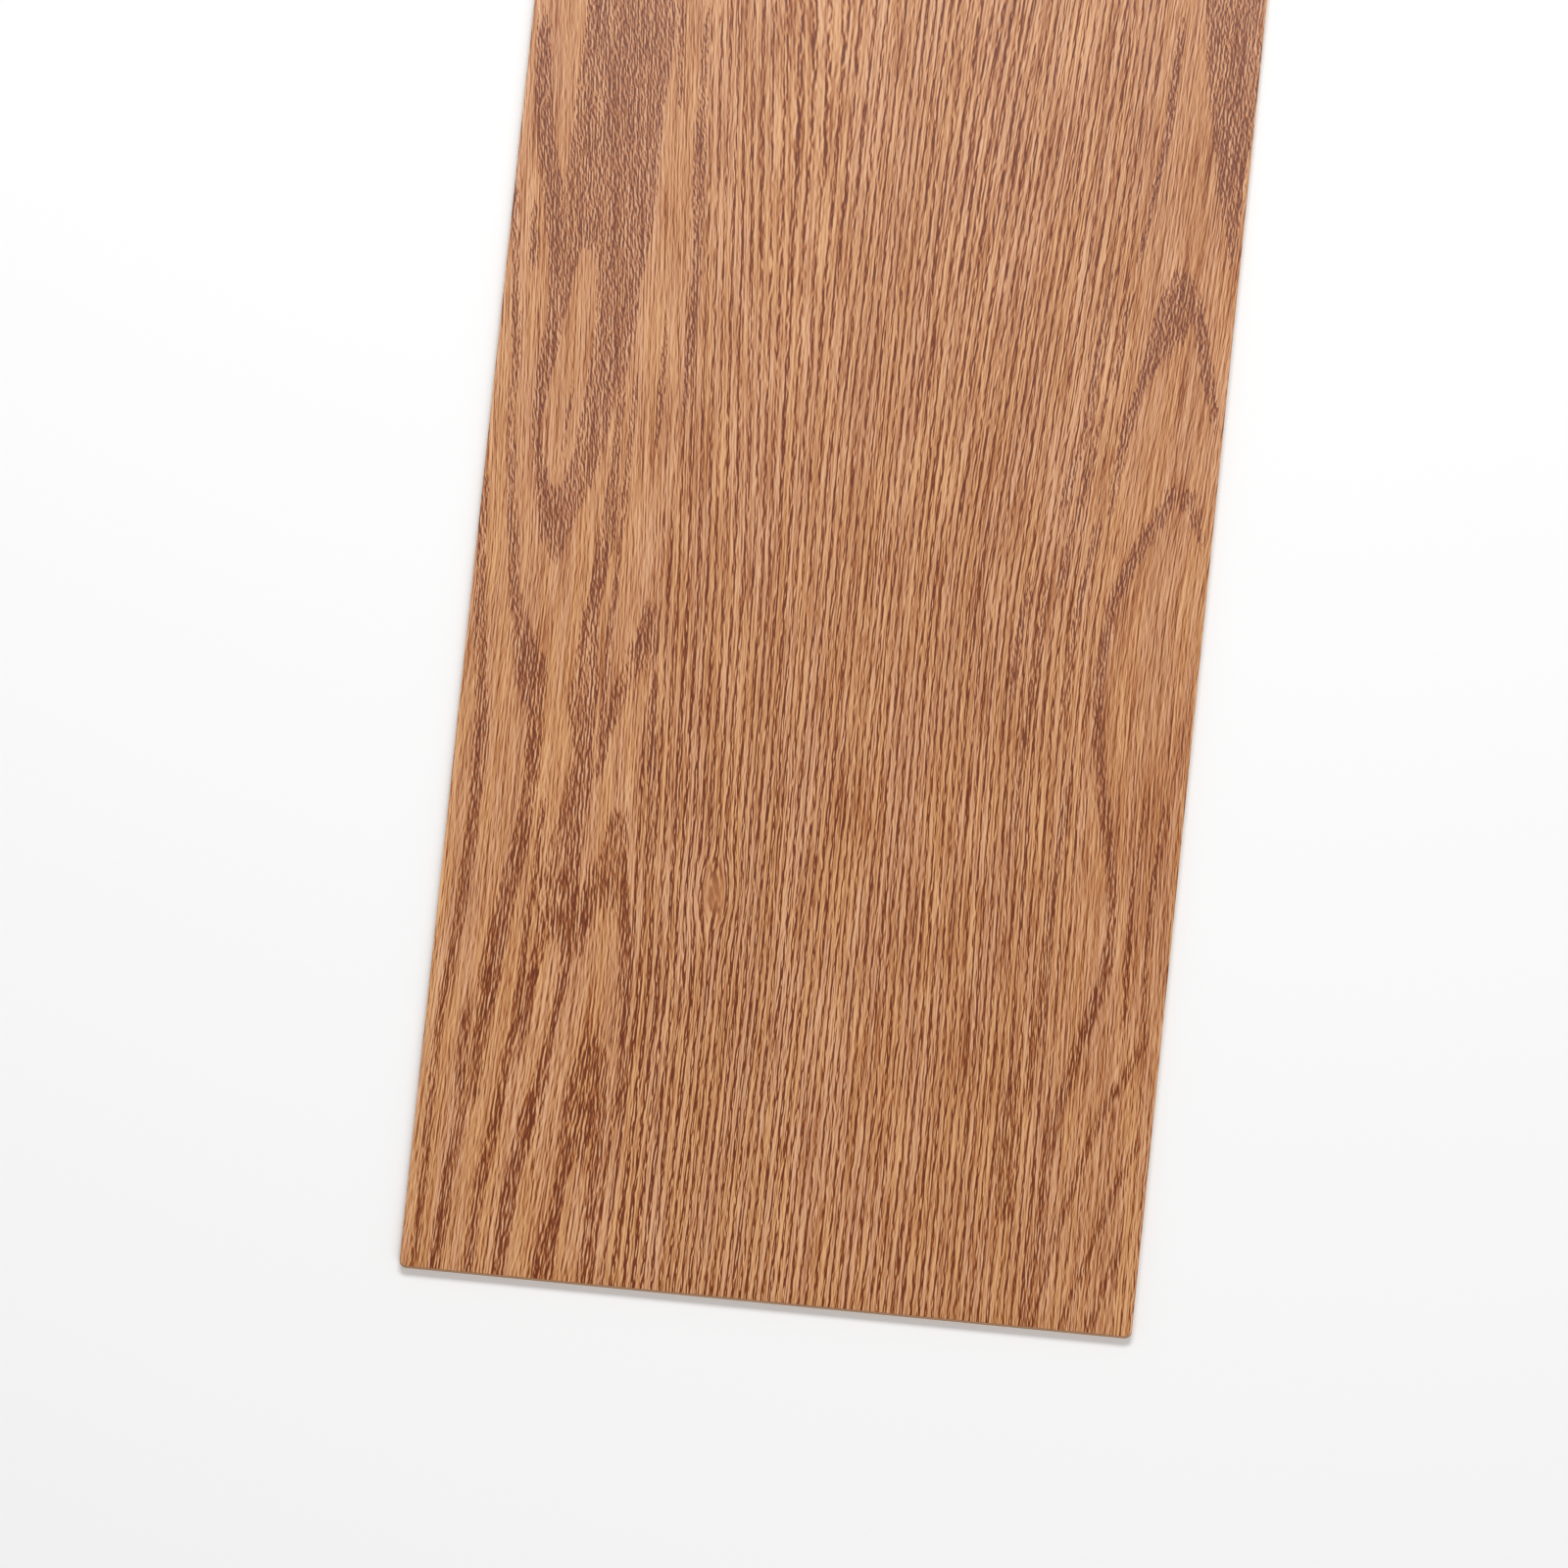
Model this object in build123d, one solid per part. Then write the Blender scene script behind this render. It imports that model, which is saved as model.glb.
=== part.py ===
"""Peel and stick vinyl floor plank with a red oak print, lying face up on its release paper.

The plank is one hot-pressed vinyl sheet, die cut to a 6 by 36 inch module. Its adhesive back is
covered by a sheet of release paper that the same die cuts, so the two have one outline. The face
meets the die first, so the steel rule draws its top edge down into a small round, while the foot
of the cut stays sharp and tight against the neighbouring plank.

Frame: the origin is at the middle of the outline on the underside of the paper, +X is across the
plank, +Y runs along it towards the far end, and +Z points out of the printed face. All sizes are
in millimetres.
"""

import os

from build123d import *

INCH = 25.4

# The plank is sold by its face: 6 by 36 inches, and 2 mm of vinyl.
PLANK_WIDTH = 6 * INCH
PLANK_LENGTH = 36 * INCH
VINYL_THICKNESS = 2.0

# Release paper on the adhesive, an 80 g sheet with its silicone coat.
PAPER_THICKNESS = 0.1

# The cutting die's marks: a small radius at each corner, and a drawn-down top edge.
CORNER_RADIUS = 1.5
FACE_EDGE_RADIUS = 0.3

PARTS_FOLDER = "parts"


def die_cut_outline():
    """The outline that the die gives to the vinyl and to its paper."""
    return RectangleRounded(PLANK_WIDTH, PLANK_LENGTH, CORNER_RADIUS)


def make_release_paper():
    """The sheet that is peeled off, lying on the floor with its top on the adhesive."""
    return extrude(die_cut_outline(), PAPER_THICKNESS)


def make_vinyl_plank():
    """The vinyl, from the adhesive up to the printed face, with the face's edge drawn down."""
    adhesive_face = Plane.XY.offset(PAPER_THICKNESS)
    sheet = extrude(adhesive_face * die_cut_outline(), VINYL_THICKNESS)
    face_edges = sheet.faces().sort_by(Axis.Z)[-1].edges()
    return fillet(face_edges, FACE_EDGE_RADIUS)


PIECES = {
    "vinyl_plank": make_vinyl_plank,
    "release_paper": make_release_paper,
}

os.makedirs(PARTS_FOLDER, exist_ok=True)
for name, make_piece in PIECES.items():
    piece = make_piece()
    piece.label = name
    export_step(piece, os.path.join(PARTS_FOLDER, name + ".step"))
    print(name, piece.bounding_box().size, "volume", round(piece.volume, 1))
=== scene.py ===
"""Peel and stick floor plank: its printed and pressed face, die-cut edges and release paper.

Everything is in metres in the part's own frame: +X across the plank, +Y along it away from the
near end, +Z out of the face. The growth figure of the print is set out in millimetres instead,
across from the left edge and along from the near end.
"""

import math

import bmesh
import bpy
import numpy as np
from bpy.props import FloatProperty, FloatVectorProperty, PointerProperty
from mathutils import Matrix, Vector, noise


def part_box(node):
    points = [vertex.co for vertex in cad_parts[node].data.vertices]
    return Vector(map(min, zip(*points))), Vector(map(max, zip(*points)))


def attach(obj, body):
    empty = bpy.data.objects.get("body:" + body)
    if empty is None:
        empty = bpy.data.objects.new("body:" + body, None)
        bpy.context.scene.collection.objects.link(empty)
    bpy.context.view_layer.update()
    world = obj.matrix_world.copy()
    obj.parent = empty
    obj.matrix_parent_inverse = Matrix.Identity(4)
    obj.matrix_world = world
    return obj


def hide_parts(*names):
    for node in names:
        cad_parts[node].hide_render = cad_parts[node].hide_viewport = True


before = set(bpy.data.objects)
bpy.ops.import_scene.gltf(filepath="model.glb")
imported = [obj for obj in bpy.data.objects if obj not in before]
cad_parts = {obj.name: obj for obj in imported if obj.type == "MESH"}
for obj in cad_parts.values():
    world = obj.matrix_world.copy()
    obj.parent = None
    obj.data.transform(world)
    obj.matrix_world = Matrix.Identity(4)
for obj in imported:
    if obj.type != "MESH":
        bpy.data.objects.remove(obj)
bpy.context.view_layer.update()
VINYL_LOW, VINYL_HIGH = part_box("vinyl_plank")

bl_info = {
    "name": "Peel and stick floor plank",
    "version": (1, 0, 0),
    "blender": (4, 5, 0),
    "location": "View3D > Sidebar > Plank",
    "description": "Presses a red oak print into a vinyl plank, finishes its paper and lights it",
    "category": "Object",
}

MM = 0.001
WIDTH_MM = (VINYL_HIGH.x - VINYL_LOW.x) / MM
LENGTH_MM = (VINYL_HIGH.y - VINYL_LOW.y) / MM
FACE_Z = VINYL_HIGH.z

# The die's marks on the vinyl, as in the part: the corners' radius and the face's drawn-down edge.
CORNER_RADIUS = 1.5 * MM
FACE_EDGE_RADIUS = 0.3 * MM

# How many flats stand for each of the two rounds, and how far from a corner its cuts reach.
CORNER_CUTS = 6
FACE_EDGE_CUTS = 3
CORNER_REACH = 8 * MM

# Heights that differ by less than this are level.
LEVEL = 0.001 * MM

# The pressed grain fades out between these distances from the plank's edge, in mm.
PRESSED_FROM = (0.35, 2.0)

# How the plank lies in the picture: its turn, its near left corner and its width, in pixels of
# the 1600 pixel frame, and how steeply the camera looks down.
PICTURE_PX = 1600
PLANK_TURN = math.radians(5.78)
LEFT_CORNER_PX = (408.5, 1289.0)
PLANK_WIDTH_PX = 748.0
LOOK_DOWN = math.radians(75.0)
LENS_MM = 800.0
SENSOR_MM = 36.0

# The nearest and the furthest that the camera sees.
CAMERA_REACH = (0.1, 100.0)

# The two lights: their sizes, their places and the point that they face.
KEY_SIZE = (0.7, 0.4)
KEY_PLACE = (-0.05, 0.45, 1.1)
FILL_SIZE = (1.6, 1.6)
FILL_PLACE = (0.9, -1.9, 1.8)
LIT_POINT = (0.0, -0.25, 0.0)

# The figure was set out as it looks from the camera, which shortens the plank by this much.
SHORTENING = math.sin(LOOK_DOWN)

# Bands of pores, each as stations up the plank: along, across and width in mm. They are where the
# growth rings lie nearly flat in the face, down its left side and its right.
LEFT_BANDS = (
    # The wide band at the top, down to the first eye.
    ((211, 24, 9), (218, 20, 19), (230, 20, 19), (240, 20, 18.5), (252, 20.5, 18.4),
     (300, 21, 18.6)),
    # The diagonal band to its left, which runs down the left side of the first eye.
    ((187, 10.2, 2), (194, 11.3, 2.6), (200, 11.5, 3.2), (205, 11.2, 3.6), (213, 10.6, 4.5),
     (220, 9.4, 4.5), (226, 8, 4.5), (232, 6.4, 4), (240, 5, 3.4), (247, 4, 3), (255, 3, 2.4),
     (263, 2, 2)),
    # The left side of the eye.
    ((152, 14, 1.6), (157, 14, 3.4), (162, 13.2, 3.2), (166, 12, 2.2), (170, 10.8, 1.6),
     (176, 9.9, 1.6), (181, 9.8, 2), (186, 10.2, 2.8), (193, 10.9, 3), (200, 11.6, 3.2),
     (206, 12, 4.2), (213, 12, 5.6), (219, 12, 8)),
    # The streak in the middle of the eye.
    ((169, 16.4, 0.1), (178, 16, 0.3), (188, 16.5, 0.1)),
    # The porous wood below the eye and down its right side.
    ((148, 16.4, 2), (154, 16.6, 5), (160, 17.2, 6.6), (165, 19.4, 5.6), (170, 20.8, 5.6),
     (176, 21.6, 6), (183, 22.6, 6.6), (191, 23.6, 7.4), (200, 24, 8.6), (210, 24, 9.4),
     (220, 24, 10)),
    ((150, 26.8, 1.6), (160, 27.4, 2), (172, 26.6, 1.6), (186, 27, 1)),
    ((106, 26.8, 4.6), (112, 26.4, 4), (118, 25.4, 5), (124, 25.4, 6), (131, 25.4, 4.6),
     (138, 25.2, 3), (147, 26.4, 2.8), (155, 27, 3), (166, 27.4, 2.6)),
    # Lines beside the light strip.
    ((172, 35, 0.1), (180, 35.2, 0.7), (186, 35, 1), (192, 35, 0.7), (204, 34, 0.1)),
    ((104, 30.4, 1), (112, 30, 1), (130, 29.6, 1), (160, 29.8, 0.7), (190, 29.7, 0.7)),
    ((180, 40.3, 1.1), (200, 40, 1.3), (212, 39.7, 1.4), (222, 39, 2), (232, 38.2, 2),
     (242, 37.4, 1.6), (252, 36.9, 1.2), (268, 36.3, 1.1)),
    ((243, 33, 0.6), (252, 32, 0.9), (268, 30.8, 1.6)),
    # Lines down the left edge.
    ((160, 6.4, 1.6), (170, 5.3, 1.3), (180, 4.1, 0.9), (190, 4.2, 1), (197, 3.5, 1.5),
     (205, 2.4, 1.2), (215, 1.2, 1.1), (228, 0.2, 1)),
    ((208, 5.8, 1), (215, 5.4, 1.5), (224, 4.4, 0.9)),
    ((97, 5.4, 2.4), (112, 5, 2.6), (122, 4, 2.6), (130, 3, 2.5), (140, 2, 2), (150, 1, 1.5),
     (166, 0.4, 1)),
    ((-3, 2.4, 1.3), (12, 3, 1.5), (26, 3, 1.3), (40, 2.8, 1.3), (52, 3.1, 1.3), (61, 3.6, 1.6),
     (70, 4.4, 2), (80, 5, 2.4), (90, 5.4, 2.6), (100, 5.4, 2.4)),
    # The line that crosses to the dark patch at 130 mm and runs on down to the near end.
    ((117, 15.6, 3.6), (122, 14.4, 6.4), (128, 13.6, 6.4), (134, 11.4, 3.6), (138, 9.6, 2.2),
     (143, 8.6, 2), (151, 7.6, 2), (161, 6.4, 1.6)),
    ((33, 11.3, 1.4), (41, 11.6, 2.2), (50, 11.6, 2.6), (58, 12, 4.2), (66, 12.4, 4.6),
     (75, 13.6, 4.2), (85, 15.2, 3.4), (92, 16, 2.8), (100, 16.5, 2.6), (110, 16.4, 2.8),
     (118, 16, 3.6)),
    ((-3, 7, 2), (8, 7.9, 2.6), (20, 8.2, 2.6), (30, 9.2, 2.4), (40, 8.6, 2.6), (49, 8, 2),
     (57, 8.6, 1)),
    ((-3, 14.4, 2), (10, 14.2, 2.2), (20, 15, 2.2), (28, 16, 1.7), (36, 17.3, 1.8), (43, 17.6, 1.6),
     (50, 18.5, 1.4), (60, 18.7, 1.7), (70, 18.9, 1.6), (86, 19.5, 1.1), (101, 19.7, 0.9)),
    # The dark patch beside the second eye, and its two legs.
    ((69, 25, 6.5), (74, 25, 8.6), (81, 24.6, 8.6), (88, 25, 6.6), (95, 25.6, 5.4), (108, 27.2, 5)),
    ((44, 20.3, 1), (55, 20.6, 1.2), (64, 21.4, 2.2), (72, 22.4, 2.6)),
    ((-3, 20.5, 2.4), (8, 20.6, 2.6), (18, 21.2, 3.2), (25, 22.2, 3.4), (31, 23.2, 4.2),
     (37, 24.2, 4), (44, 25.6, 2.6), (51, 26.4, 1.7), (58, 27, 1.9), (67, 28, 2.6), (73, 28, 3)),
    # The arch over the second eye.
    ((126, 36, 7.4), (131, 36.4, 5.6), (137, 37, 3.2), (143, 37.6, 1.5)),
    ((103, 30.6, 1.1), (110, 30.9, 1.4), (116, 31.6, 2), (122, 32.8, 3), (128, 33.6, 3)),
    ((84, 42.6, 1.6), (100, 41.8, 1.6), (112, 40.9, 1.6), (120, 40.4, 1.6), (128, 39.8, 2)),
    # The dark point inside it, and the arch over the third eye.
    ((76, 35, 9), (80, 35, 9), (85, 35, 7), (91, 35.2, 4.4), (99, 35.4, 3.6)),
    ((66, 30.5, 1.1), (74, 30.7, 2.2), (80, 31, 2.6), (86, 31, 2)),
    ((34, 42, 2.4), (46, 41.6, 1.7), (56, 41.1, 2), (65, 40.4, 2.1), (73, 39.3, 2.4),
     (81, 38.4, 2.6)),
    # The patch below the third eye, and its legs.
    ((24, 35, 7.6), (31, 34.8, 9.2), (40, 34.8, 8.8), (46, 35.2, 6.4), (52, 35.4, 3.4)),
    ((-3, 30.8, 1.6), (8, 31, 1.8), (16, 31.2, 2), (24, 31.8, 2.6), (30, 32.4, 3)),
    ((-3, 38, 2.2), (10, 38.4, 2.2), (24, 38.5, 2.6), (31, 38, 3)),
    ((-3, 28.4, 2.6), (6, 28.8, 1.8), (13, 29, 1.2)),
)
RIGHT_BANDS = (
    # The purplish cluster at the top right.
    ((222, 151, 0.6), (232, 150, 2.8), (240, 148.8, 5.6), (248, 148.2, 7.4), (257, 147.6, 9),
     (266, 146.8, 11), (290, 144.6, 12)),
    ((243, 134.6, 0.8), (254, 134.8, 1.2), (275, 135.4, 1.4)),
    ((168, 130.6, 1), (182, 131.6, 1.5), (190, 133, 1.8), (197, 134.6, 2.2), (203, 136.4, 3.8),
     (210, 137.6, 4.2), (216, 138.8, 3.6), (222, 141, 1.6)),
    ((203, 138.5, 2.6), (209, 140.8, 4.6), (215, 141.6, 4.4), (221, 142.2, 2)),
    ((188, 151.2, 1.6), (194, 149.8, 2), (199, 148.4, 2), (205, 146.8, 2), (211, 145.2, 2.2),
     (217, 143.8, 2.4)),
    ((221, 131, 0.8), (230, 132.4, 0.9), (240, 133.4, 0.8), (252, 134.4, 0.7)),
    ((196, 128.2, 0.9), (205, 129.4, 1.2), (216, 130, 0.8)),
    ((150, 121.4, 0.8), (160, 122.4, 1.1), (172, 124.4, 1.3), (186, 126.4, 1), (196, 127.8, 0.8)),
    ((166, 120.6, 1.4), (176, 121.6, 1.4), (186, 124, 1), (205, 125, 1.2), (222, 126.4, 0.9)),
    # The arch around the smooth area, its left side running down to the near end.
    ((164, 150.6, 1.4), (170, 148.6, 2.2), (174.5, 146.2, 2.8), (177.5, 144.8, 1.6)),
    ((-3, 130, 1), (20, 131, 1.5), (32, 131.2, 1.6), (42, 132.2, 1.6), (50, 133.6, 1.8),
     (56, 134.8, 2.2), (62, 136.4, 2.6), (68, 138.4, 2.8), (74, 139.6, 2.4), (84, 139.8, 1.8),
     (92, 139, 1.8), (98, 137.8, 2.2), (105, 136.4, 2.2), (113, 134.8, 2), (121, 133.4, 1.8),
     (128, 132.4, 1.8), (135, 131.8, 1.8), (144, 132.4, 1.8), (152, 133.4, 2), (158, 135.4, 2.4),
     (164, 138, 2.8), (169, 140.5, 2.8), (173, 142.5, 2.8), (177.5, 144.4, 2.4)),
    # Shaded wood between the arch and the right edge.
    ((58, 144.6, 0.3), (76, 143.8, 0.7), (96, 143.2, 0.7), (112, 144.4, 0.3)),
    ((56, 149.6, 0.3), (72, 147.8, 0.7), (92, 147.4, 0.8), (112, 148.2, 0.4)),
    # Lines to the left of the arch.
    ((44, 125.6, 1), (56, 126.6, 1.6), (80, 126.6, 1.6), (98, 127.4, 1.2), (114, 128, 0.9)),
    ((20, 123.4, 3), (32, 123, 3.6), (44, 122.6, 3), (54, 122.6, 1.6)),
    ((124, 125.4, 0.9), (140, 125.2, 1), (154, 126.4, 1), (168, 129, 0.8)),
    ((100, 117.6, 1), (118, 118, 1.5), (134, 118, 1.7), (156, 119.4, 1.3)),
    ((128, 114.4, 1.6), (142, 114.4, 1.4), (156, 115.6, 1.2)),
    # Short diagonals by the right edge.
    ((-3, 131.2, 0.9), (5, 132.4, 1), (15, 134, 1.1), (26, 136.4, 1.2), (34, 138.4, 1.2),
     (43, 141, 1.4), (50, 143.8, 1.5), (56, 146.8, 1.7), (63, 150, 1.4)),
    ((-3, 137, 0.9), (5, 138.8, 1.1), (15, 141.6, 1.2), (24, 144.2, 1.3), (30, 145.8, 1.5),
     (36, 148.4, 1.5), (42, 150.6, 1.2)),
    ((-3, 142.6, 0.9), (4, 144.2, 1.2), (12, 146.4, 1.5), (19, 148.6, 1.1)),
)

# Where the grain leans: how far it drifts right in 100 mm towards the near end, the stretch
# along and the stretch across the plank over which it does, and how softly that starts, in mm.
LEANS = (
    (-4.5, (-20, 70), (-60, 38), 14),
    (5.0, (60, 150), (24, 64), 14),
    (8.0, (150, 280), (-60, 62), 16),
    (-5.0, (150, 280), (96, 190), 14),
    (2.5, (55, 130), (96, 190), 14),
)

# The drift counts from this distance along, and dies out over this stretch.
LEAN_LEVEL = 130.0
LEAN_FADE = (300.0, 640.0)

# How far the fibres swing from side to side, in mm.
FIBRE_SWING = 2.2

# A small knot: its middle across and along, and its half width and half length, in mm. The fibres
# part around it, by this share of their distance from it at its middle. That fades with the square
# of the distance, where 1 is the knot's edge, and this is how far it reaches.
KNOT_ACROSS = 56.9
KNOT_ALONG = 83.0
KNOT_HALF_WIDTH = 2.4
KNOT_HALF_LENGTH = 4.6
KNOT_PARTING = 0.8
KNOT_PARTING_REACH = 3.0

# Broad patches of darker wood, or paler where negative: middle across and along, half width and
# half length in mm, and how much darker.
SHADES = (
    (147, 112, 9, 28, 0.17),
    (146, 74, 7, 26, 0.065),
    (148, 188, 8, 34, 0.05),
    (148, 246, 7, 22, 0.06),
    (142, 228, 10, 30, 0.065),
    (140, 212, 4, 8, 0.04),
    (138.6, 166, 3, 9, 0.055),
    (145.6, 175, 4, 4, 0.05),
    (147, 40, 9, 30, 0.045),
    (148, 2, 8, 12, -0.04),
    (136, 66, 8, 40, 0.06),
    (138, 190, 8, 40, 0.06),
    (126, 246, 10, 24, 0.045),
    (122, 80, 6, 24, 0.035),
    (124, 160, 7, 32, -0.035),
    (112, 66, 8, 40, 0.05),
    (116, 158, 7, 16, 0.05),
    (128, 206, 4, 14, -0.05),
    (99, 238, 16, 36, 0.06),
    (92, 154, 9, 26, 0.075),
    (92, 50, 14, 26, -0.06),
    (80, 12, 9, 26, -0.045),
    (67, 138, 7, 26, 0.04),
    (57, 76, 12, 34, 0.105),
    (43, 131, 7, 17, 0.10),
    (36, 40, 5, 12, 0.05),
    (38, 54, 2.4, 8, 0.07),
    (40, 20, 5, 12, 0.03),
    (35, 8, 2.6, 20, 0.07),
    (34, 187, 4, 12, 0.10),
    (31, 170, 10, 24, -0.025),
    (30, 100, 8, 20, -0.045),
    (29, 46, 3, 14, -0.07),
    (28, 250, 5, 16, 0.04),
    (25.5, 4, 3, 16, -0.08),
    (21, 40, 3, 30, 0.04),
    (19, 130, 5, 22, 0.045),
    (9, 36, 8, 38, -0.045),
    (3, 246, 6, 24, 0.12),
)

# Growth rings in each millimetre, by distance from the left edge.
RING_STATIONS = ((-40, 0.45), (36, 0.5), (48, 0.56), (74, 0.6), (84, 0.68), (106, 0.64),
                 (126, 0.58), (200, 0.5))
RING_REACH = (-60.0, 220.0)
RING_STEP = 0.5

# A band of pores fades in from this far outside its edge to this far inside it, in mm. By the near
# end it fades over more, and its pores stand closer.
BAND_OUTSIDE = 0.7
BAND_INSIDE = 0.4
BAND_NEAR_FADE = 0.45
BAND_NEAR_FADE_STRETCH = (40.0, 130.0)
BAND_NEAR_COVER = 0.14
BAND_NEAR_COVER_STRETCH = (20.0, 130.0)

# A narrow band is this much denser than a wide one, between these half widths. Every band starts
# and ends softly, this far from its first and last stations and over twice this softness.
BAND_NARROW_COVER = 0.15
BAND_NARROW_HALF = (1.0, 2.6)
BAND_END_INSET = 1.0
BAND_END_SOFTNESS = 3.5

# How far the edges of the bands stray, in mm.
BAND_RAGGEDNESS = 0.5

# Where the growth rings run close enough to show as fine lines: from left to right across the
# plank, and how softly that starts. Beside it they show faintly, and more so by the near end.
LINES_LEFT = 39.0
LINES_RIGHT = 131.0
LINES_SOFTNESS = 3.5
LINES_FAINT = 0.12
LINES_NEAR_LEFT = 0.16
LINES_NEAR_RIGHT = 0.4
LINES_NEAR_STRETCH = (20.0, 90.0)

# In the left half of the middle the lines are bold by the near end and fine further up.
BOLD_BETWEEN = (44.0, 78.0)
BOLD_SOFTNESS = 7.0
BOLD_STRETCH = (60.0, 190.0)
BOLD_NEAR = 1.5
BOLD_FAR = 0.85

# The part of the plank whose figure the photograph shows ends along this slanted line.
DRAWN_END = 268.0
DRAWN_END_SLANT = 0.1
DRAWN_FADE = 9.0

# Bands beyond that line: they die out towards the middle between these distances from the left
# edge, stand this far apart, and each fills this part of its spacing.
GROWN_LEFT_FADE = (34.0, 46.0)
GROWN_RIGHT_FADE = (124.0, 136.0)
GROWN_SPACING = 9.5
GROWN_PART = (0.16, 0.58)
GROWN_SOFTNESS = 0.1

# The print film's line on the cut edge: the heights where it starts and where it is full, in mm.
FILM_LINE = (1.62, 1.72)


class PlankSettings(bpy.types.PropertyGroup):
    """Sizes and inks of the plank's face."""

    cell_across: FloatProperty(
        name="Cell width", description="Width of the face's mesh cells", default=0.4 * MM,
        unit="LENGTH")
    cell_along: FloatProperty(
        name="Cell length", description="Length of the face's mesh cells", default=4.0 * MM,
        unit="LENGTH")
    relief: FloatProperty(
        name="Pressed depth", description="Depth of the grain pressed into the face",
        default=0.06 * MM, unit="LENGTH")
    light_wood: FloatVectorProperty(
        name="Wood", description="Ink of the wood between the pores", subtype="COLOR",
        default=(0.480, 0.203, 0.084))
    pore_ink: FloatVectorProperty(
        name="Pores", description="Ink of the pores", subtype="COLOR",
        default=(0.145, 0.026, 0.003))
    pore_wood: FloatVectorProperty(
        name="Porous wood", description="Ink of the wood around the pores", subtype="COLOR",
        default=(0.285, 0.073, 0.014))
    # The palest ink, reached by the palest fibres and by each embossed tick's painted highlight.
    fleck_and_highlight_ink: FloatVectorProperty(
        name="Flecks", description="Ink of the palest fibres", subtype="COLOR",
        default=(0.745, 0.420, 0.235))
    knot_wood: FloatVectorProperty(
        name="Knot", description="Ink of the small knot", subtype="COLOR",
        default=(0.46, 0.180, 0.066))
    # Painted sheen: a mauve tint mixed into the porous wood, more of it further along, where the
    # light's sheen is stronger.
    painted_sheen: FloatVectorProperty(
        name="Bloom", description="Mauve bloom on the porous wood", subtype="COLOR",
        default=(0.45, 0.30, 0.27))
    honey: FloatVectorProperty(
        name="Honey", description="Glaze of the honey coloured streaks", subtype="COLOR",
        default=(1.0, 0.965, 0.79))
    core: FloatVectorProperty(
        name="Cut edge", description="Colour of the vinyl where the die cut it", subtype="COLOR",
        default=(0.30, 0.155, 0.072))


class PaperSettings(bpy.types.PropertyGroup):
    """Colours of the release paper."""

    paper: FloatVectorProperty(
        name="Paper", description="Colour of the siliconised paper", subtype="COLOR",
        default=(0.80, 0.77, 0.69))
    fibre: FloatVectorProperty(
        name="Fibres", description="Colour of the fibres that show in it", subtype="COLOR",
        default=(0.66, 0.61, 0.51))


class StageSettings(bpy.types.PropertyGroup):
    """The floor and lights that the plank is shown in."""

    floor_size: FloatProperty(
        name="Floor", description="Length of a side of the floor", default=14.0, unit="LENGTH")
    floor_colour: FloatVectorProperty(
        name="Floor colour", description="Colour of the floor", subtype="COLOR",
        default=(0.97, 0.97, 0.97))
    key_power: FloatProperty(
        name="Key light", description="Power of the large soft light", default=10.4, unit="POWER")
    fill_power: FloatProperty(
        name="Fill light", description="Power of the light on the camera's side", default=17.0,
        unit="POWER")
    sky: FloatProperty(
        name="Sky", description="Strength of the light from all around", default=0.39)


class Socket:
    """A shader socket that takes part in arithmetic. Each operation adds one Math node."""

    def __init__(self, shader, socket):
        self.shader = shader
        self.socket = socket

    def math(self, operation, *others):
        return self.shader.node("ShaderNodeMath", {"operation": operation}, self, *others)

    def __add__(self, other):
        return self.math("ADD", other)

    __radd__ = __add__

    def __sub__(self, other):
        return self.math("SUBTRACT", other)

    def __rsub__(self, other):
        return self.shader.node("ShaderNodeMath", {"operation": "SUBTRACT"}, other, self)

    def __mul__(self, other):
        return self.math("MULTIPLY", other)

    def __truediv__(self, other):
        return self.math("DIVIDE", other)

    def largest(self, other):
        return self.math("MAXIMUM", other)

    def fraction(self):
        return self.math("FRACT")

    def size(self):
        return self.math("ABSOLUTE")

    def rise(self, low, high):
        """0 below low, 1 above high, and a smooth climb between them."""
        settings = {"interpolation_type": "SMOOTHSTEP"}
        values = {"Value": self, "From Min": low, "From Max": high}
        return self.shader.node("ShaderNodeMapRange", settings, **values)


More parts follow.
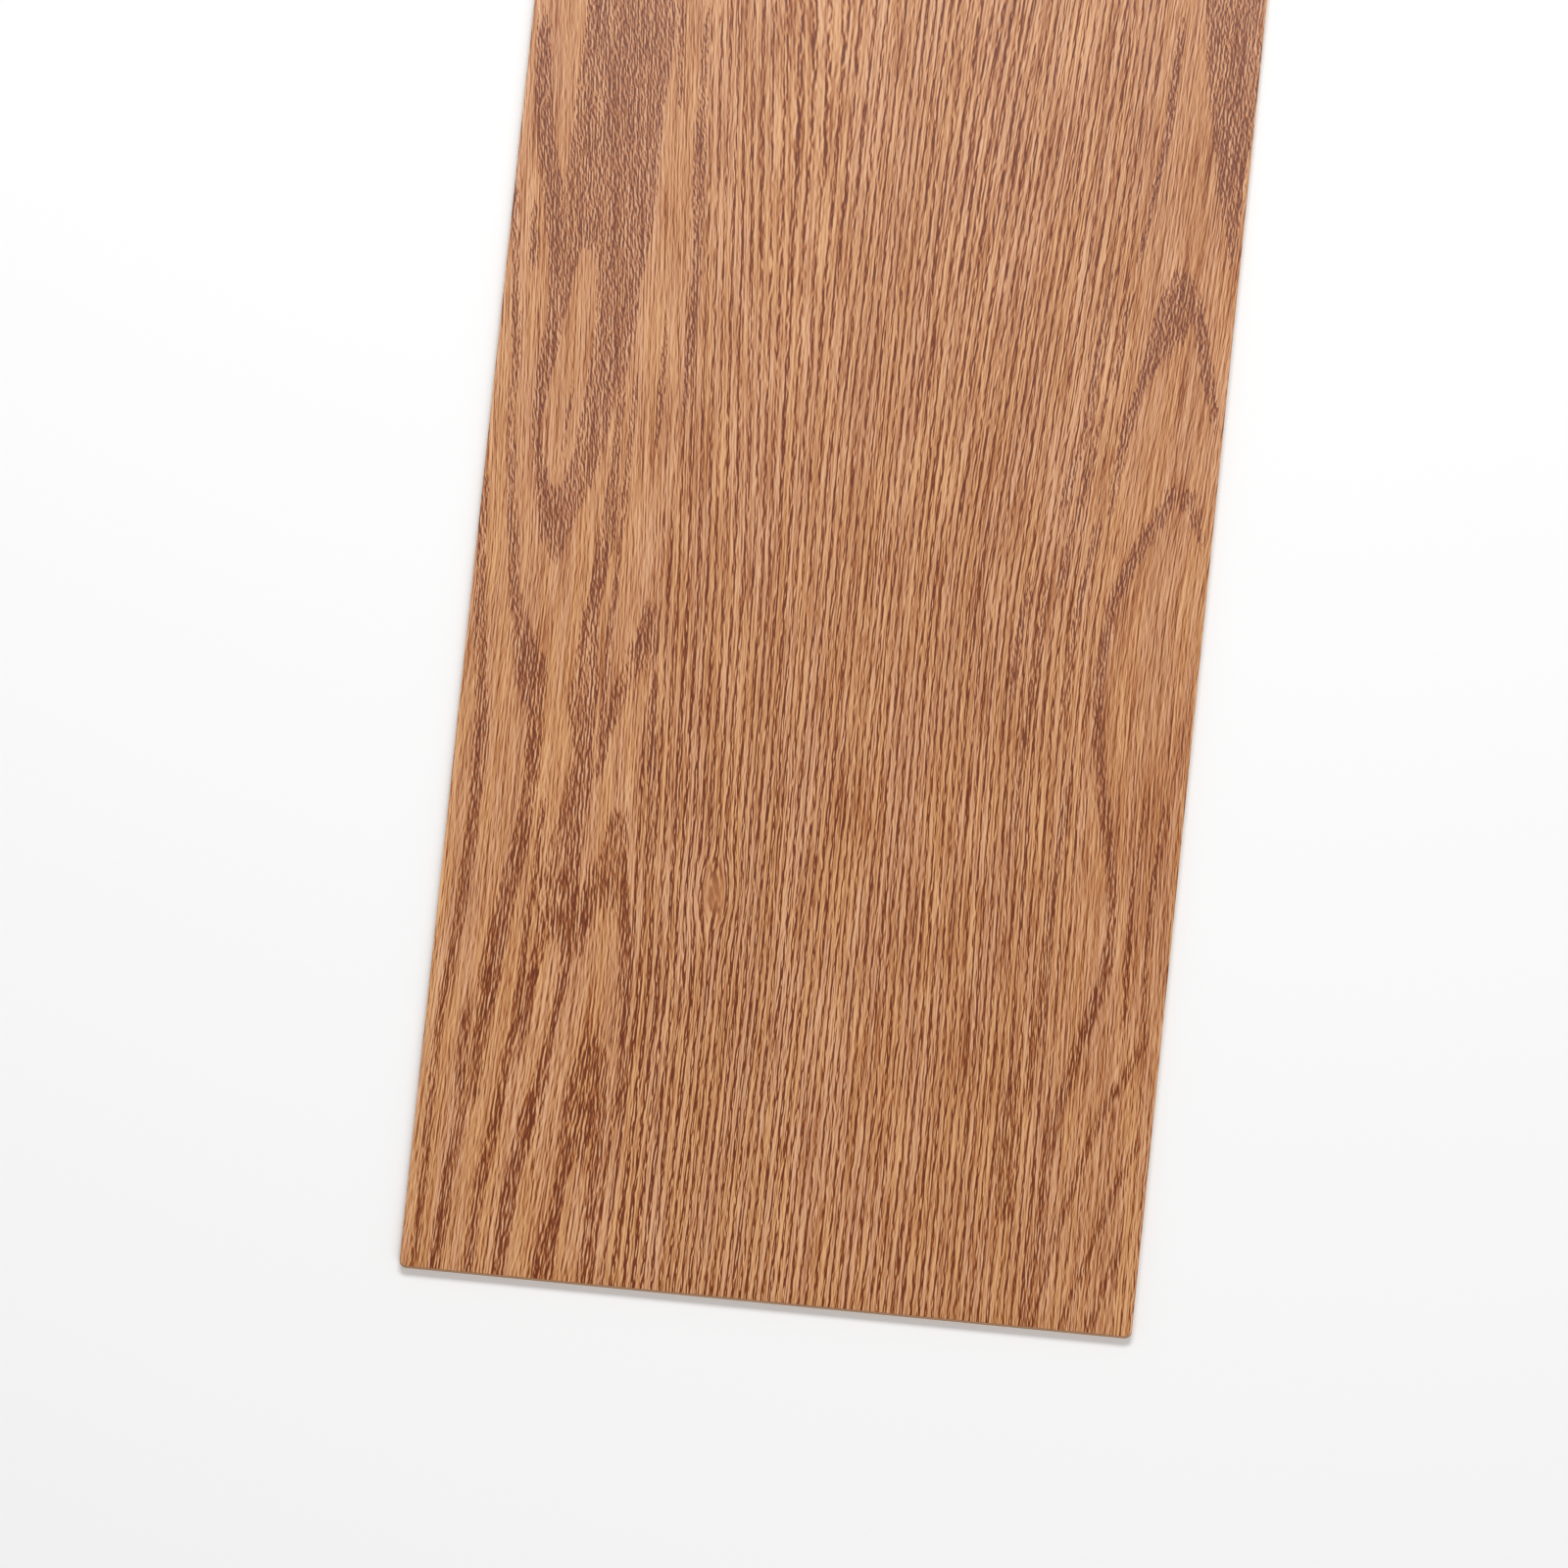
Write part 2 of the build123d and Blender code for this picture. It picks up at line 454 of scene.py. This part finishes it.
class Shader:
    """One material's node tree."""

    def __init__(self, name):
        self.material = bpy.data.materials.new(name)
        self.material.use_nodes = True
        self.tree = self.material.node_tree
        self.surface = self.tree.nodes["Principled BSDF"]

    def node(self, kind, settings, *values, output=0, **named):
        """Adds a node: its settings first, then its sockets by order and by name or identifier."""
        made = self.tree.nodes.new(kind)
        for name, setting in settings.items():
            setattr(made, name, setting)
        targets = {**dict(enumerate(values)), **named}
        for key, value in targets.items():
            self.feed(self.find(made.inputs, key), value)
        return Socket(self, self.find(made.outputs, output))

    def find(self, sockets, key):
        if isinstance(key, int):
            return sockets[key]
        found = [s for s in sockets if key in (s.identifier, s.name)]
        if not found:
            raise KeyError(f"no socket {key}")
        return found[0]

    def feed(self, target, value):
        if isinstance(value, Socket):
            self.tree.links.new(value.socket, target)
        elif target.type == "RGBA":
            target.default_value = (*value, 1.0)
        else:
            target.default_value = value

    def attribute(self, name):
        return self.node("ShaderNodeAttribute", {"attribute_name": name}, output="Fac")

    def vector(self, x, y):
        return self.node("ShaderNodeCombineXYZ", {}, x, y, 0.0)

    def mix(self, amount, first, second):
        settings = {"data_type": "RGBA", "blend_type": "MIX"}
        sockets = {"Factor_Float": amount, "A_Color": first, "B_Color": second}
        return self.node("ShaderNodeMix", settings, output="Result_Color", **sockets)

    def tint(self, amount, colour, glaze):
        """The colour under a clear coloured glaze, as thick as the amount."""
        settings = {"data_type": "RGBA", "blend_type": "MULTIPLY"}
        sockets = {"Factor_Float": amount, "A_Color": colour, "B_Color": glaze}
        return self.node("ShaderNodeMix", settings, output="Result_Color", **sockets)

    def ramp(self, amount, stops):
        """Colours at their places between 0 and 1, blended evenly."""
        made = self.node("ShaderNodeValToRGB", {}, Fac=amount, output="Color")
        elements = made.socket.node.color_ramp.elements
        for place, colour in stops[1:-1]:
            elements.new(place)
        for element, (place, colour) in zip(elements, stops):
            element.position = place
            element.color = (*colour, 1.0)
        return made

    def noise(self, where, dimensions="2D", scale=1.0, detail=1.0, roughness=0.5):
        """Noise from 0 to 1, whose cells are one unit divided by the scale."""
        values = {"Vector": where, "Scale": scale, "Detail": detail, "Roughness": roughness}
        settings = {"noise_dimensions": dimensions}
        return self.node("ShaderNodeTexNoise", settings, output="Fac", **values)

    def finish(self, **sockets):
        """Feeds the surface's sockets, whose names are written with underscores."""
        for name, value in sockets.items():
            self.feed(self.surface.inputs[name.replace("_", " ")], value)
        return self.material


def soft_step(value, low, high):
    """0 below low, 1 above high, with a smooth climb, for whole arrays."""
    t = np.clip((value - low) / (high - low), 0.0, 1.0)
    return t * t * (3.0 - 2.0 * t)


def window(value, low, high, soft):
    """1 between low and high, falling to 0 over twice soft at each end."""
    after = soft_step(value, low - soft, low + soft)
    return after * (1.0 - soft_step(value, high - soft, high + soft))


def wander(across, along, width, length, seed):
    """Smooth noise about zero, whose patches are of the size given in mm."""
    return np.array([noise.noise((a / width, b / length, seed)) for a, b in zip(across, along)])


def knot_distance(across, along):
    """The square of the distance from the small knot's middle, which is 1 at its edge."""
    aside = (across - KNOT_ACROSS) / KNOT_HALF_WIDTH
    ahead = (along - KNOT_ALONG) / KNOT_HALF_LENGTH
    return aside ** 2 + ahead ** 2


def knot(across, along):
    """1 over the small knot, falling to 0 around it."""
    return np.exp(-knot_distance(across, along) ** 2)


def fibre_line(across, along):
    """Where each point's fibre crosses the middle of the drawn figure, in mm from the left edge."""
    line = across + FIBRE_SWING * wander(across, along, width=70.0, length=190.0, seed=3.0)
    for lean, stretch, between, soft in LEANS:
        travel = np.clip(along, *stretch) - np.clip(LEAN_LEVEL, *stretch)
        travel = travel * (1.0 - soft_step(along, *LEAN_FADE))
        line = line + lean / 100.0 * travel * window(across, *between, soft)
    parting = KNOT_PARTING * np.exp(-knot_distance(across, along) / KNOT_PARTING_REACH)
    return line - (across - KNOT_ACROSS) * parting


def ring_count(line, along):
    """How many growth rings lie between the left edge and each point."""
    stations = np.arange(*RING_REACH, RING_STEP)
    density = np.interp(stations, *zip(*RING_STATIONS))
    rings = np.interp(line, stations, np.cumsum(density) * RING_STEP)
    rings = rings + 0.4 * wander(line, along, width=6.0, length=90.0, seed=11.0)
    return rings + 0.10 * wander(line, along, width=2.2, length=34.0, seed=17.0)


def band(across, along, stations):
    """How far each point lies in one band of pores: 1 inside it, and a little more if narrow."""
    ups, centres, widths = (np.array(column, dtype=float) for column in zip(*stations))
    centre = np.interp(along, ups, centres)
    half = np.interp(along, ups, widths) / 2.0
    soft = BAND_NEAR_FADE * (1.0 - soft_step(along, *BAND_NEAR_FADE_STRETCH))
    edge = (half - BAND_INSIDE - soft, half + BAND_OUTSIDE + soft)
    inside = 1.0 - soft_step(np.abs(across - centre), *edge)
    cover = 1.0 + BAND_NARROW_COVER * (1.0 - soft_step(half, *BAND_NARROW_HALF))
    first = ups[0] + BAND_END_INSET
    last = ups[-1] - BAND_END_INSET
    return inside * cover * window(along, first, last, BAND_END_SOFTNESS)


def grown_bands(across, along):
    """Eyes and arches of pores for the part of the plank that the photograph cuts off."""
    left = 1.0 - soft_step(across, *GROWN_LEFT_FADE)
    right = soft_step(across, *GROWN_RIGHT_FADE)
    rings = across / GROWN_SPACING
    rings = rings + 1.7 * wander(across, along, width=26.0, length=120.0, seed=31.0)
    rings = rings + 0.5 * wander(across, along, width=9.0, length=50.0, seed=37.0)
    phase = rings - np.floor(rings)
    return window(phase, *GROWN_PART, GROWN_SOFTNESS) * np.maximum(left, right)


def pore_cover(across, along):
    """How thickly the pores stand at each point, apart from the fine lines: about 1 in a band."""
    ragged = across + BAND_RAGGEDNESS * wander(across, along, width=2.0, length=14.0, seed=5.0)
    drawn = np.zeros_like(across)
    for stations in LEFT_BANDS + RIGHT_BANDS:
        drawn = np.maximum(drawn, band(ragged, along, stations))
    drawn = drawn * (1.0 + BAND_NEAR_COVER * (1.0 - soft_step(along, *BAND_NEAR_COVER_STRETCH)))
    end = DRAWN_END + DRAWN_END_SLANT * across
    seen = 1.0 - soft_step(along, end - DRAWN_FADE, end + DRAWN_FADE)
    return drawn * seen + grown_bands(ragged, along) * (1.0 - seen)


def line_strength(across, along):
    """How strongly the fine growth lines show: 1 in the middle, 1.5 where they are boldest."""
    near = 1.0 - soft_step(along, *LINES_NEAR_STRETCH)
    left = LINES_LEFT + 2.5 * wander(along, along, width=1.0, length=60.0, seed=41.0)
    right = LINES_RIGHT + 3.0 * wander(along, along, width=1.0, length=70.0, seed=43.0)
    beside = np.where(across > WIDTH_MM / 2, LINES_NEAR_RIGHT, LINES_NEAR_LEFT)
    least = LINES_FAINT + near * beside
    bold = BOLD_NEAR + (BOLD_FAR - BOLD_NEAR) * soft_step(along, *BOLD_STRETCH)
    bold = 1.0 + (bold - 1.0) * window(across, *BOLD_BETWEEN, BOLD_SOFTNESS)
    return (least + (1.0 - least) * window(across, left, right, LINES_SOFTNESS)) * bold


def broad_shade(across, along):
    """How much darker than the rest the wood is at each point."""
    total = np.zeros_like(across)
    for middle, up, half_width, half_length, amount in SHADES:
        away = ((across - middle) / half_width) ** 2 + ((along - up) / half_length) ** 2
        total += amount * np.exp(-away)
    return total


def relief_height(across, along, depth):
    """The pressed grain's height over the face's top level, in metres: nowhere above 0."""
    ridges = wander(across, along, width=2.4, length=38.0, seed=51.0)
    ridges = ridges + 0.6 * wander(across, along, width=1.3, length=16.0, seed=53.0)
    hollow = np.clip(0.5 - 0.6 * ridges, 0.0, 1.0)
    edge = np.minimum.reduce([across, WIDTH_MM - across, along, LENGTH_MM - along])
    return -depth * hollow * soft_step(edge, *PRESSED_FROM)


def trim_corner(bm, side, end):
    """Cuts one corner of the sheet to the die's radius, with a fan of straight cuts."""
    corner = Vector((side * WIDTH_MM * MM / 2, end * LENGTH_MM * MM / 2, FACE_Z))
    centre = corner - Vector((side * CORNER_RADIUS, end * CORNER_RADIUS, 0.0))
    for cut in range(CORNER_CUTS):
        angle = math.pi / 2 * (cut + 0.5) / CORNER_CUTS
        outward = Vector((side * math.cos(angle), end * math.sin(angle), 0.0))
        faces = [f for f in bm.faces if (f.calc_center_median() - corner).length < CORNER_REACH]
        geometry = set(faces)
        for face in faces:
            geometry.update(face.verts, face.edges)
        bmesh.ops.bisect_plane(
            bm, geom=list(geometry), plane_co=centre + outward * CORNER_RADIUS, plane_no=outward,
            clear_outer=True)


def press_plank(bm, settings):
    """Cuts the vinyl from a sheet of cells and gives it its walls, its back and its round edge."""
    width = WIDTH_MM * MM
    length = LENGTH_MM * MM
    size = Matrix.Diagonal((width, length, 1.0, 1.0))
    bmesh.ops.create_grid(
        bm, x_segments=round(width / settings.cell_across),
        y_segments=round(length / settings.cell_along), size=0.5,
        matrix=Matrix.Translation((0.0, 0.0, FACE_Z)) @ size)
    for side in (-1, 1):
        for end in (-1, 1):
            trim_corner(bm, side, end)
    rim = [e for e in bm.edges if e.is_boundary]
    walls = bmesh.ops.extrude_edge_only(bm, edges=rim)["geom"]
    foot = [g for g in walls if isinstance(g, bmesh.types.BMVert)]
    bmesh.ops.translate(bm, vec=(0.0, 0.0, VINYL_LOW.z - FACE_Z), verts=foot)
    foot_edges = [e for e in bm.edges if e.is_boundary]
    bmesh.ops.contextual_create(bm, geom=foot_edges)
    bmesh.ops.bevel(
        bm, geom=rim, offset=FACE_EDGE_RADIUS, offset_type="OFFSET", segments=FACE_EDGE_CUTS,
        profile=0.5, affect="EDGES", material=-1, clamp_overlap=True)
    bmesh.ops.recalc_face_normals(bm, faces=bm.faces)
    for face in bm.faces:
        face.smooth = True
        face.material_index = 1 if face.calc_center_median().z < FACE_Z - FACE_EDGE_RADIUS else 0
    for edge in bm.edges:
        edge.smooth = not all(v.co.z < VINYL_LOW.z + LEVEL for v in edge.verts)


def face_ink(settings):
    """The printed and embossed oak under its clear wear layer."""
    shader = Shader("printed_oak")
    across = shader.attribute("fibre_across")
    along = shader.attribute("fibre_along")
    rings = shader.attribute("rings")
    pores = shader.attribute("pores")
    lines = shader.attribute("lines")
    shaded = shader.attribute("shade")
    knot_cover = shader.attribute("knot")

    def grain(width, length, offset, shift=0.0, slant=0.0):
        """Noise about zero drawn out along the fibre, its cells of the size given in mm."""
        cell = across / width + (offset + shift / width)
        return shader.noise(shader.vector(cell, along / length + cell * slant)) - 0.5

    dashes = grain(0.25, 4.4, 0.0)
    # Painted highlight and painted shade of the embossing: each pressed tick is painted pale on one
    # side and dark on the other, as side light falls on it.
    tick_highlight_and_shade = grain(0.36, 3.2, 47.9) - grain(0.36, 3.2, 47.9, shift=0.28)
    # Short pores of the flat grain, which cross it at a slant.
    specks = grain(0.40, 1.5, 71.3, slant=0.5) - grain(0.40, 1.5, 71.3, shift=0.38, slant=0.5)
    fibres = grain(0.33, 24.0, 13.1)
    tone = grain(7.0, 120.0, 7.3)

    # The growth lines: dark halfway between whole counts, and each of its own strength on its way.
    wobble = grain(1.6, 26.0, 31.7)
    phase = (rings + wobble * 0.24).fraction()
    ring_line = (1 - (phase * 2 - 1).size()).rise(0.28, 0.95)
    strength = shader.noise(shader.vector(rings * 0.9, along / 42.0))
    ring_line = ring_line * (0.70 + strength * 0.75)
    line = ring_line * lines
    dark_line = (line * 0.75 + dashes * (0.35 + lines * 0.45)).rise(0.13, 0.72)

    # The bands of pores: long dashes by the near end, short specks further up.
    far = along.rise(50, 210)
    ragged = pores + fibres * 0.5 + specks * 0.25 + dashes * 0.2
    patch = ragged.rise(far * 0.08 + 0.20, 0.84 - far * 0.14)
    dark_patch = patch * (pores * 0.6 + dashes * (1.9 - far * 1.2) + specks * (0.9 + far * 2.8))

    # How light the print is at each point, from 0 in the pores to 1 in the palest fibres, with each
    # embossed tick's painted highlight and shade added in.
    cover = line.largest(patch * (0.65 - far * 0.3))
    dark = dark_line.largest(dark_patch)
    bold = lines.rise(1.0, 1.45)
    light = 0.612 + lines * 0.05 + tone * 0.25 + fibres * 1.4 - shaded + bold * 0.045
    crisp = 1.08 - far * 0.16 + bold * 0.28
    # This adds each embossed tick's painted highlight and painted shade to the print's lightness.
    shade = light - (dashes * 0.45 - tick_highlight_and_shade * (0.75 + cover * 1.4) + dark * 0.50) * crisp
    wood = shader.ramp(shade, (
        (0.0, settings.pore_ink), (0.25, settings.pore_wood), (0.5, settings.light_wood),
        (1.0, settings.fleck_and_highlight_ink)))

    # Streaks of honey colour, thinned further along as painted sheen; a mauve painted sheen on the
    # porous wood far up; and the small knot.
    honey_streak_with_sheen_fade = (grain(1.6, 30.0, 23.3) + grain(5.0, 70.0, 3.9)).rise(-0.24, 0.24)
    # Painted sheen: the honey glaze thins further along, as the light's sheen would wash it out.
    honey_streak_with_sheen_fade = honey_streak_with_sheen_fade * (1 - along.rise(90, 260) * 0.35)
    wood = shader.tint(honey_streak_with_sheen_fade, wood, settings.honey)
    # Painted sheen: mauve mixed into the porous wood, growing further along.
    wood = shader.mix(patch * along.rise(60, 200) * 0.06, wood, settings.painted_sheen)
    wood = shader.mix(knot_cover * 0.7, wood, settings.knot_wood)

    height = shade - dark * 0.4
    pressed = shader.node("ShaderNodeBump", {}, Strength=0.35, Distance=0.05 * MM, Height=height)
    gloss = 0.30 + fibres * 0.12
    return shader.finish(
        Base_Color=wood, Roughness=gloss, Normal=pressed, Specular_IOR_Level=0.3)


def cut_edge(settings):
    """The vinyl where the die cut it: a filled core with the print film as a line at its top."""
    shader = Shader("cut_vinyl")
    place = shader.node("ShaderNodeTexCoord", {}, output="Object")
    x = shader.node("ShaderNodeSeparateXYZ", {}, Vector=place, output="X")
    y, z = (Socket(shader, x.socket.node.outputs[axis]) for axis in "YZ")
    around = x + y
    strata = shader.noise(shader.vector(around / (6 * MM), z / (0.16 * MM)), detail=2.0)
    pale_core = tuple(c * 1.9 for c in settings.core)
    body = shader.mix(strata, settings.core, pale_core)
    film = (z / MM).rise(*FILM_LINE)
    colour = shader.mix(film * 0.55, body, settings.pore_ink)
    drag = shader.noise(shader.vector(around / (0.12 * MM), z / (1.2 * MM)))
    pressed = shader.node("ShaderNodeBump", {}, Strength=0.3, Distance=0.03 * MM, Height=drag)
    return shader.finish(Base_Color=colour, Roughness=0.55 + strata * 0.15, Normal=pressed, IOR=1.5)


def paper_sheet(settings):
    """Siliconised paper: faint fibres and a dull sheen."""
    shader = Shader("siliconised_paper")
    place = shader.node("ShaderNodeTexCoord", {}, output="Object")
    cloud = shader.noise(place, dimensions="3D", scale=1 / (9 * MM), detail=4.0, roughness=0.6)
    fibres = shader.noise(place, dimensions="3D", scale=1 / (0.9 * MM), detail=3.0, roughness=0.6)
    amount = (cloud * 0.6 + fibres * 0.5).rise(0.4, 0.75)
    colour = shader.mix(amount * 0.6, settings.paper, settings.fibre)
    pressed = shader.node("ShaderNodeBump", {}, Strength=0.2, Distance=0.05 * MM, Height=fibres)
    return shader.finish(Base_Color=colour, Roughness=0.5 + amount * 0.2, Normal=pressed, IOR=1.45)


def finished_object(name, bm, materials):
    """An object of the scene from a finished shape, with its materials in order."""
    mesh = bpy.data.meshes.new(name)
    bm.to_mesh(mesh)
    bm.free()
    piece = bpy.data.objects.new(name, mesh)
    bpy.context.scene.collection.objects.link(piece)
    for material in materials:
        mesh.materials.append(material)
    return piece


def write_figure(piece, settings):
    """Stores the growth figure on the mesh's points and presses the relief into its face."""
    mesh = piece.data
    points = np.empty(len(mesh.vertices) * 3, dtype=np.float32)
    mesh.vertices.foreach_get("co", points)
    points = points.reshape(-1, 3).astype(float)
    across = (points[:, 0] - VINYL_LOW.x) / MM
    along = (points[:, 1] - VINYL_LOW.y) / MM
    set_out = along * SHORTENING
    line = fibre_line(across, set_out)
    fields = {
        "fibre_across": line,
        "fibre_along": along,
        "rings": ring_count(line, set_out),
        "pores": pore_cover(across, set_out),
        "lines": line_strength(across, set_out),
        "shade": broad_shade(across, set_out),
        "knot": knot(across, set_out),
    }
    for name, values in fields.items():
        layer = mesh.attributes.new(name, "FLOAT", "POINT")
        layer.data.foreach_set("value", values.astype(np.float32))
    on_face = points[:, 2] > FACE_Z - LEVEL
    points[:, 2] += np.where(on_face, relief_height(across, along, settings.relief), 0.0)
    mesh.vertices.foreach_set("co", points.astype(np.float32).ravel())
    mesh.update()


class PLANK_OT_press_vinyl(bpy.types.Operator):
    """Cut the vinyl plank, press the grain into it and print it"""

    bl_idname = "plank.press_vinyl"
    bl_label = "Press the vinyl plank"

    def execute(self, context):
        settings = context.scene.plank
        bm = bmesh.new()
        press_plank(bm, settings)
        piece = finished_object("pressed_plank", bm, [face_ink(settings), cut_edge(settings)])
        write_figure(piece, settings)
        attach(piece, "root")
        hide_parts("vinyl_plank")
        return {"FINISHED"}


class PLANK_OT_finish_paper(bpy.types.Operator):
    """Give the release paper its finish"""

    bl_idname = "plank.finish_paper"
    bl_label = "Finish the release paper"

    def execute(self, context):
        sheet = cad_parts["release_paper"]
        material = paper_sheet(context.scene.release_paper)
        for slot in sheet.material_slots:
            slot.material = material
        return {"FINISHED"}


def add_light(name, power, size, place, target):
    """A rectangular light that faces the target and doesn't show in the picture itself."""
    lamp = bpy.data.lights.new(name, "AREA")
    lamp.energy = power
    lamp.shape = "RECTANGLE"
    lamp.size, lamp.size_y = size
    holder = bpy.data.objects.new(name, lamp)
    holder.location = place
    holder.rotation_euler = (Vector(target) - Vector(place)).to_track_quat("-Z", "Y").to_euler()
    holder.visible_camera = False
    bpy.context.scene.collection.objects.link(holder)


def picture_target(pixel):
    """The point on the face's plane in the middle of the picture, and the plank's way up it.

    pixel is the width of the plank that one pixel of the picture shows, in metres.
    """
    ahead = Vector((-math.sin(PLANK_TURN), math.cos(PLANK_TURN), 0.0))
    right = Vector((math.cos(PLANK_TURN), math.sin(PLANK_TURN), 0.0))
    corner = Vector((VINYL_LOW.x, VINYL_LOW.y, FACE_Z))
    middle = PICTURE_PX / 2
    to_right = (middle - LEFT_CORNER_PX[0]) * pixel
    upward = (LEFT_CORNER_PX[1] - middle) * pixel
    return corner + right * to_right + ahead * (upward / SHORTENING), ahead


def add_camera():
    """A long lens, placed so that the plank shows in the picture as the photograph has it."""
    pixel = WIDTH_MM * MM / PLANK_WIDTH_PX
    target, ahead = picture_target(pixel)
    distance = PICTURE_PX * pixel * LENS_MM / SENSOR_MM
    back = -ahead * math.cos(LOOK_DOWN) + Vector((0.0, 0.0, math.sin(LOOK_DOWN)))
    lens = bpy.data.cameras.new("camera")
    lens.lens = LENS_MM
    lens.sensor_width = SENSOR_MM
    lens.clip_start, lens.clip_end = CAMERA_REACH
    camera = bpy.data.objects.new("camera", lens)
    camera.location = target + back * distance
    camera.rotation_euler = (-back).to_track_quat("-Z", "Y").to_euler()
    bpy.context.scene.collection.objects.link(camera)
    bpy.context.scene.camera = camera


class PLANK_OT_set_stage(bpy.types.Operator):
    """Lay the floor and set the lights and the camera"""

    bl_idname = "plank.set_stage"
    bl_label = "Set the stage"

    def execute(self, context):
        settings = context.scene.stage
        bm = bmesh.new()
        bmesh.ops.create_grid(bm, x_segments=1, y_segments=1, size=settings.floor_size / 2)
        shader = Shader("floor")
        material = shader.finish(Base_Color=tuple(settings.floor_colour), Roughness=0.9)
        finished_object("floor", bm, [material])
        world = bpy.data.worlds.new("sky")
        world.use_nodes = True
        sky = world.node_tree.nodes["Background"]
        sky.inputs["Color"].default_value = (1.0, 1.0, 1.0, 1.0)
        sky.inputs["Strength"].default_value = settings.sky
        context.scene.world = world
        add_light("key", settings.key_power, KEY_SIZE, KEY_PLACE, LIT_POINT)
        add_light("fill", settings.fill_power, FILL_SIZE, FILL_PLACE, LIT_POINT)
        add_camera()
        context.scene.view_settings.view_transform = "Standard"
        return {"FINISHED"}


class PLANK_PT_panel(bpy.types.Panel):
    """The plank's steps and settings in the sidebar"""

    bl_idname = "PLANK_PT_panel"
    bl_label = "Plank"
    bl_space_type = "VIEW_3D"
    bl_region_type = "UI"
    bl_category = "Plank"

    def draw(self, context):
        for step, group in STEPS:
            box = self.layout.box()
            box.operator(step.bl_idname)
            settings = getattr(context.scene, group)
            for name in settings.bl_rna.properties.keys():
                if name not in ("rna_type", "name"):
                    box.prop(settings, name)


STEPS = (
    (PLANK_OT_press_vinyl, "plank"),
    (PLANK_OT_finish_paper, "release_paper"),
    (PLANK_OT_set_stage, "stage"),
)
GROUPS = {"plank": PlankSettings, "release_paper": PaperSettings, "stage": StageSettings}
CLASSES = (*GROUPS.values(), *(step for step, group in STEPS), PLANK_PT_panel)


def register():
    for made in CLASSES:
        bpy.utils.register_class(made)
    for name, group in GROUPS.items():
        setattr(bpy.types.Scene, name, PointerProperty(type=group))


def unregister():
    for name in GROUPS:
        delattr(bpy.types.Scene, name)
    for made in reversed(CLASSES):
        bpy.utils.unregister_class(made)


def main():
    """Makes the plank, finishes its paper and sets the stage."""
    register()
    bpy.ops.plank.press_vinyl()
    bpy.ops.plank.finish_paper()
    bpy.ops.plank.set_stage()


if __name__ == "__main__":
    main()
